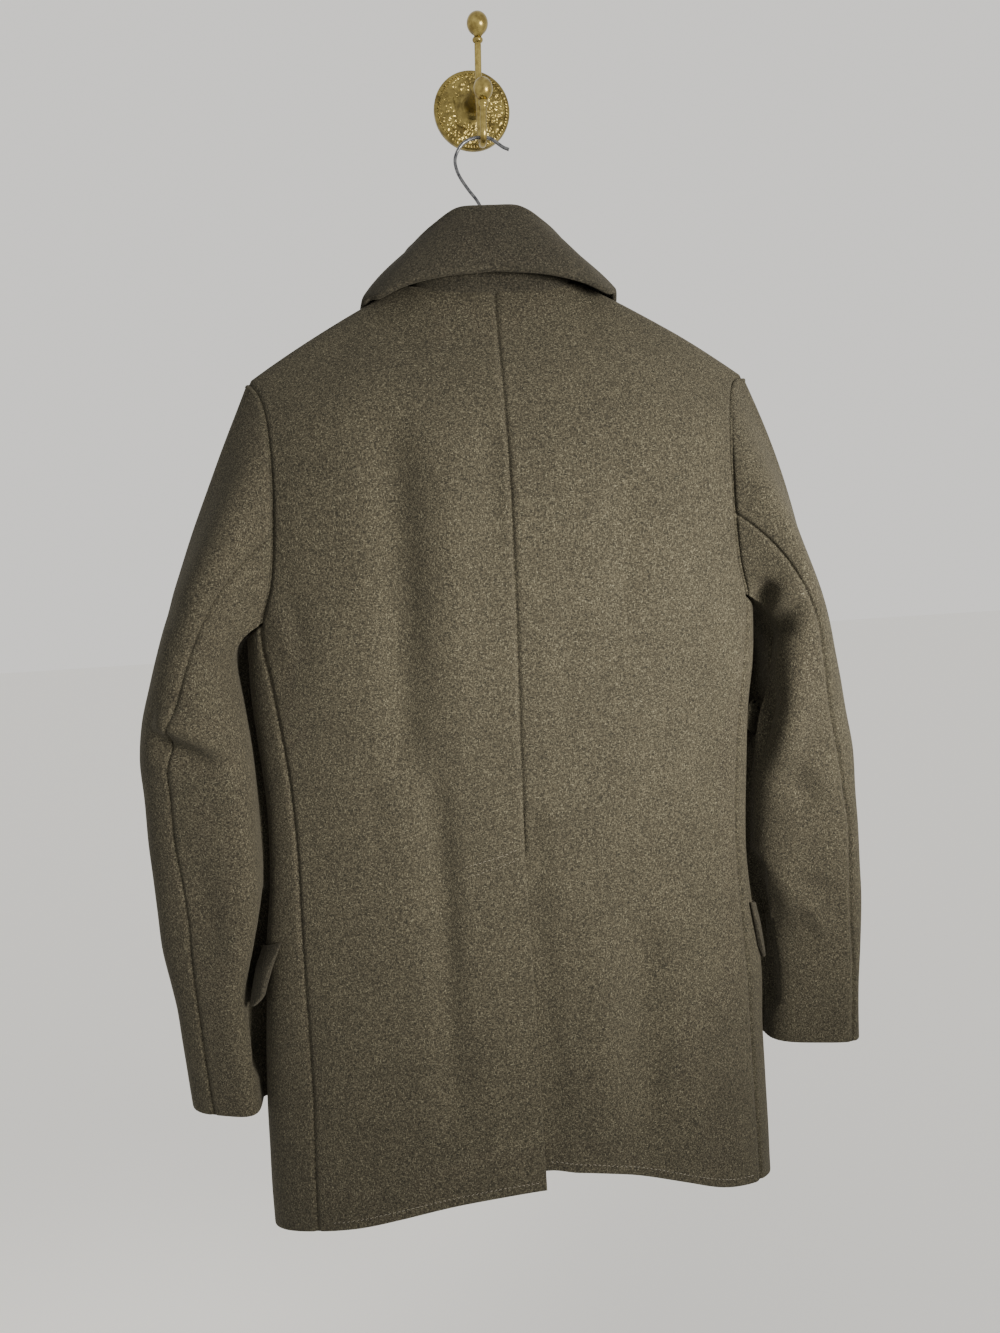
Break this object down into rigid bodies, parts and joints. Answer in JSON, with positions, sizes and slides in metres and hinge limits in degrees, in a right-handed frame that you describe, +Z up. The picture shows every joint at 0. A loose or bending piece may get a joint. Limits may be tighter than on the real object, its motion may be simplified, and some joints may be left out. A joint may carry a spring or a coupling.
{
  "type": "wool peacoat on a wire hanger on a brass double-ball wall hook",
  "caption": "Hollow wool peacoat with open neck, hem and cuffs, hung by a wire hanger from a double-ball wall hook.",
  "frame": {"origin": "middle of the wall plate's back face, which lies on the wall", "axes": "+Y into the wall, -Y into the room, +Z up; the coat's fronts face the wall and the wearer's left is at -X"},
  "size_m": [0.6607, 0.1317, 1.081],
  "materials": {
    "melton": "heathered olive brown wool melton",
    "collar_melton": "heathered olive brown wool melton, double layer",
    "button": "satin horn-brown",
    "brass": "satin antique brass",
    "steel": "bright drawn wire, slightly dulled"
  },
  "bodies": {
    "root": {"back_left": "melton", "side_left": "melton", "front_left": "melton", "lapel_left": "collar_melton", "flap_left": "collar_melton", "sleeve_left_top": "melton", "sleeve_left_under": "melton", "back_right": "melton", "side_right": "melton", "front_right": "melton", "lapel_right": "collar_melton", "flap_right": "collar_melton", "sleeve_right_top": "melton", "sleeve_right_under": "melton", "collar": "collar_melton", "button_1": "button", "button_2": "button", "button_3": "button", "button_4": "button", "button_5": "button", "button_6": "button", "wall_plate": "brass", "upper_prong": "brass", "lower_prong": "brass", "hanger": "steel"}
  },
  "joints": []
}
